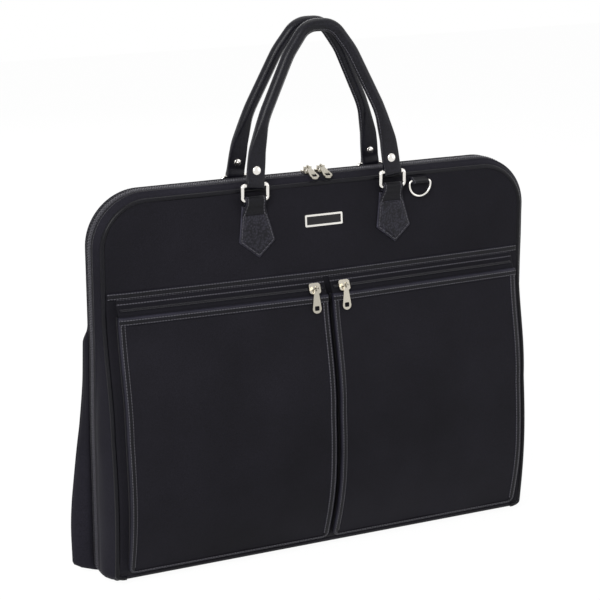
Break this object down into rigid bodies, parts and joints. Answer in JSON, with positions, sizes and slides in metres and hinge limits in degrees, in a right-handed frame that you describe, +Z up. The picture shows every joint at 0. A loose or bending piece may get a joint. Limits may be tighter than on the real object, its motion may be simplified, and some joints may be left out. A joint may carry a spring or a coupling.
{
  "type": "garment bag",
  "caption": "Soft two-fold garment bag with a zip round its edge, flat zipped front pockets and a pair of carrying handles on rings.",
  "frame": {"origin": "middle of the bottom fold, on the surface the bag stands on, where the two halves part", "axes": "+X to the right seen from the front, +Y from the front to the rear, +Z up"},
  "size_m": [0.556, 0.1324, 0.6323],
  "materials": {
    "front_d_ring": "pale nickel, lightly brushed",
    "front_d_ring_tab": "blue-black grained leather",
    "front_fold": "black woven nylon",
    "front_gusset": "blue-black grained leather",
    "front_handle_rivets": "pale nickel, lightly brushed",
    "front_handle_strap": "blue-black grained leather",
    "front_lining": "black lining cloth",
    "front_panel": "black woven nylon",
    "front_piping": "blue-black grained leather",
    "front_ring_left": "pale nickel, lightly brushed",
    "front_ring_right": "pale nickel, lightly brushed",
    "front_tab_left": "blue-black grained leather",
    "front_tab_right": "blue-black grained leather",
    "front_trim_band": "blue-black grained leather",
    "garment_strap": "black woven tape",
    "hanger_clip": "pale nickel, lightly brushed",
    "hanger_patch": "blue-black grained leather",
    "main_link_left": "pale nickel, lightly brushed",
    "main_link_right": "pale nickel, lightly brushed",
    "main_pull_left": "pale nickel, lightly brushed",
    "main_pull_right": "pale nickel, lightly brushed",
    "main_slider_left": "pale nickel, lightly brushed",
    "main_slider_right": "pale nickel, lightly brushed",
    "main_zip_coil_front": "black nylon coil",
    "main_zip_coil_rear": "black nylon coil",
    "main_zip_tape_front": "black woven tape",
    "main_zip_tape_rear": "black woven tape",
    "name_plate_frame": "pale nickel, lightly brushed",
    "name_plate_insert": "pale nickel, lightly brushed",
    "pocket_binding_left": "blue-black grained leather",
    "pocket_binding_right": "blue-black grained leather",
    "pocket_left": "black woven nylon",
    "pocket_link_left": "pale nickel, lightly brushed",
    "pocket_link_right": "pale nickel, lightly brushed",
    "pocket_pull_left": "pale nickel, lightly brushed",
    "pocket_pull_right": "pale nickel, lightly brushed",
    "pocket_right": "black woven nylon",
    "pocket_slider_left": "pale nickel, lightly brushed",
    "pocket_slider_right": "pale nickel, lightly brushed",
    "pocket_zip_coil_left": "black nylon coil",
    "pocket_zip_coil_right": "black nylon coil",
    "pocket_zip_tape_left": "black woven tape",
    "pocket_zip_tape_right": "black woven tape",
    "rear_d_ring": "pale nickel, lightly brushed",
    "rear_d_ring_tab": "blue-black grained leather",
    "rear_fold": "black woven nylon",
    "rear_gusset": "blue-black grained leather",
    "rear_handle_rivets": "pale nickel, lightly brushed",
    "rear_handle_strap": "blue-black grained leather",
    "rear_lining": "black lining cloth",
    "rear_panel": "black woven nylon",
    "rear_piping": "blue-black grained leather",
    "rear_pocket": "black woven nylon",
    "rear_pocket_binding": "blue-black grained leather",
    "rear_ring_left": "pale nickel, lightly brushed",
    "rear_ring_right": "pale nickel, lightly brushed",
    "rear_tab_left": "blue-black grained leather",
    "rear_tab_right": "blue-black grained leather",
    "strap_buckle": "black moulded"
  },
  "bodies": {
    "rear_half": {"garment_strap": "garment_strap", "hanger_clip": "hanger_clip", "hanger_patch": "hanger_patch", "main_zip_coil_rear": "main_zip_coil_rear", "main_zip_tape_rear": "main_zip_tape_rear", "rear_d_ring_tab": "rear_d_ring_tab", "rear_fold": "rear_fold", "rear_gusset": "rear_gusset", "rear_lining": "rear_lining", "rear_panel": "rear_panel", "rear_piping": "rear_piping", "rear_pocket": "rear_pocket", "rear_pocket_binding": "rear_pocket_binding", "rear_tab_left": "rear_tab_left", "rear_tab_right": "rear_tab_right", "strap_buckle": "strap_buckle"},
    "front_half": {"front_d_ring_tab": "front_d_ring_tab", "front_fold": "front_fold", "front_gusset": "front_gusset", "front_lining": "front_lining", "front_panel": "front_panel", "front_piping": "front_piping", "front_tab_left": "front_tab_left", "front_tab_right": "front_tab_right", "front_trim_band": "front_trim_band", "main_zip_coil_front": "main_zip_coil_front", "main_zip_tape_front": "main_zip_tape_front", "name_plate_frame": "name_plate_frame", "name_plate_insert": "name_plate_insert", "pocket_binding_left": "pocket_binding_left", "pocket_binding_right": "pocket_binding_right", "pocket_left": "pocket_left", "pocket_right": "pocket_right", "pocket_zip_coil_left": "pocket_zip_coil_left", "pocket_zip_coil_right": "pocket_zip_coil_right", "pocket_zip_tape_left": "pocket_zip_tape_left", "pocket_zip_tape_right": "pocket_zip_tape_right"},
    "front_ring_left": {"front_ring_left": "front_ring_left"},
    "front_ring_right": {"front_ring_right": "front_ring_right"},
    "rear_ring_left": {"rear_ring_left": "rear_ring_left"},
    "rear_ring_right": {"rear_ring_right": "rear_ring_right"},
    "front_handle": {"front_handle_strap": "front_handle_strap", "front_handle_rivets": "front_handle_rivets"},
    "rear_handle": {"rear_handle_strap": "rear_handle_strap", "rear_handle_rivets": "rear_handle_rivets"},
    "front_d_ring": {"front_d_ring": "front_d_ring"},
    "rear_d_ring": {"rear_d_ring": "rear_d_ring"},
    "main_slider_left": {"main_slider_left": "main_slider_left"},
    "main_pull_left": {"main_link_left": "main_link_left", "main_pull_left": "main_pull_left"},
    "pocket_slider_left": {"pocket_slider_left": "pocket_slider_left"},
    "pocket_pull_left": {"pocket_link_left": "pocket_link_left", "pocket_pull_left": "pocket_pull_left"},
    "main_slider_right": {"main_slider_right": "main_slider_right"},
    "main_pull_right": {"main_link_right": "main_link_right", "main_pull_right": "main_pull_right"},
    "pocket_slider_right": {"pocket_slider_right": "pocket_slider_right"},
    "pocket_pull_right": {"pocket_link_right": "pocket_link_right", "pocket_pull_right": "pocket_pull_right"}
  },
  "joints": [
    {"name": "bag_fold", "type": "hinge", "parent": "rear_half", "child": "front_half", "pos_m": [0, 0, 0], "axis": [1, 0, 0], "range_deg": [0, 180]},
    {"name": "front_ring_left_swing", "type": "hinge", "parent": "front_half", "child": "front_ring_left", "pos_m": [-0.088, -0.028, 0.435], "axis": [1, 0, 0], "range_deg": [0, 80]},
    {"name": "front_ring_right_swing", "type": "hinge", "parent": "front_half", "child": "front_ring_right", "pos_m": [0.088, -0.028, 0.435], "axis": [1, 0, 0], "range_deg": [0, 80]},
    {"name": "front_handle_swing", "type": "hinge", "parent": "front_ring_left", "child": "front_handle", "pos_m": [-0.088, -0.028, 0.452], "axis": [1, 0, 0], "range_deg": [0, 90]},
    {"name": "rear_ring_left_swing", "type": "hinge", "parent": "rear_half", "child": "rear_ring_left", "pos_m": [-0.088, 0.028, 0.435], "axis": [-1, 0, 0], "range_deg": [0, 80]},
    {"name": "rear_ring_right_swing", "type": "hinge", "parent": "rear_half", "child": "rear_ring_right", "pos_m": [0.088, 0.028, 0.435], "axis": [-1, 0, 0], "range_deg": [0, 80]},
    {"name": "rear_handle_swing", "type": "hinge", "parent": "rear_ring_left", "child": "rear_handle", "pos_m": [-0.088, 0.028, 0.452], "axis": [-1, 0, 0], "range_deg": [0, 90]},
    {"name": "front_d_ring_swing", "type": "hinge", "parent": "front_half", "child": "front_d_ring", "pos_m": [0.126, -0.0265, 0.437], "axis": [-1, 0, 0], "range_deg": [0, 150]},
    {"name": "rear_d_ring_swing", "type": "hinge", "parent": "rear_half", "child": "rear_d_ring", "pos_m": [-0.126, 0.0265, 0.437], "axis": [1, 0, 0], "range_deg": [0, 150]},
    {"name": "main_slider_left_slide", "type": "slide", "parent": "front_half", "child": "main_slider_left", "axis": [-1, 0, 0], "range_m": [0, 0.18]},
    {"name": "main_pull_left_swing", "type": "hinge", "parent": "main_slider_left", "child": "main_pull_left", "pos_m": [-0.0085, 0, 0.4605], "axis": [-1, 0, 0], "range_deg": [0, 130]},
    {"name": "pocket_slider_left_slide", "type": "slide", "parent": "front_half", "child": "pocket_slider_left", "axis": [-0.9993, 0.037, 0], "range_m": [0, 0.215]},
    {"name": "pocket_pull_left_swing", "type": "hinge", "parent": "pocket_slider_left", "child": "pocket_pull_left", "pos_m": [-0.01922, -0.04499, 0.32804], "axis": [-0.9993, 0.037, 0], "range_deg": [0, 120]},
    {"name": "main_slider_right_slide", "type": "slide", "parent": "front_half", "child": "main_slider_right", "axis": [1, 0, 0], "range_m": [0, 0.18]},
    {"name": "main_pull_right_swing", "type": "hinge", "parent": "main_slider_right", "child": "main_pull_right", "pos_m": [0.0085, 0, 0.4605], "axis": [-1, 0, 0], "range_deg": [0, 130]},
    {"name": "pocket_slider_right_slide", "type": "slide", "parent": "front_half", "child": "pocket_slider_right", "axis": [0.9993, 0.037, 0], "range_m": [0, 0.215]},
    {"name": "pocket_pull_right_swing", "type": "hinge", "parent": "pocket_slider_right", "child": "pocket_pull_right", "pos_m": [0.01922, -0.04499, 0.32804], "axis": [-0.9993, -0.037, 0], "range_deg": [0, 120]}
  ],
  "couplings": [
    {"joint": "front_ring_right_swing", "follows": "front_ring_left_swing", "ratio": 1},
    {"joint": "rear_ring_right_swing", "follows": "rear_ring_left_swing", "ratio": 1}
  ]
}
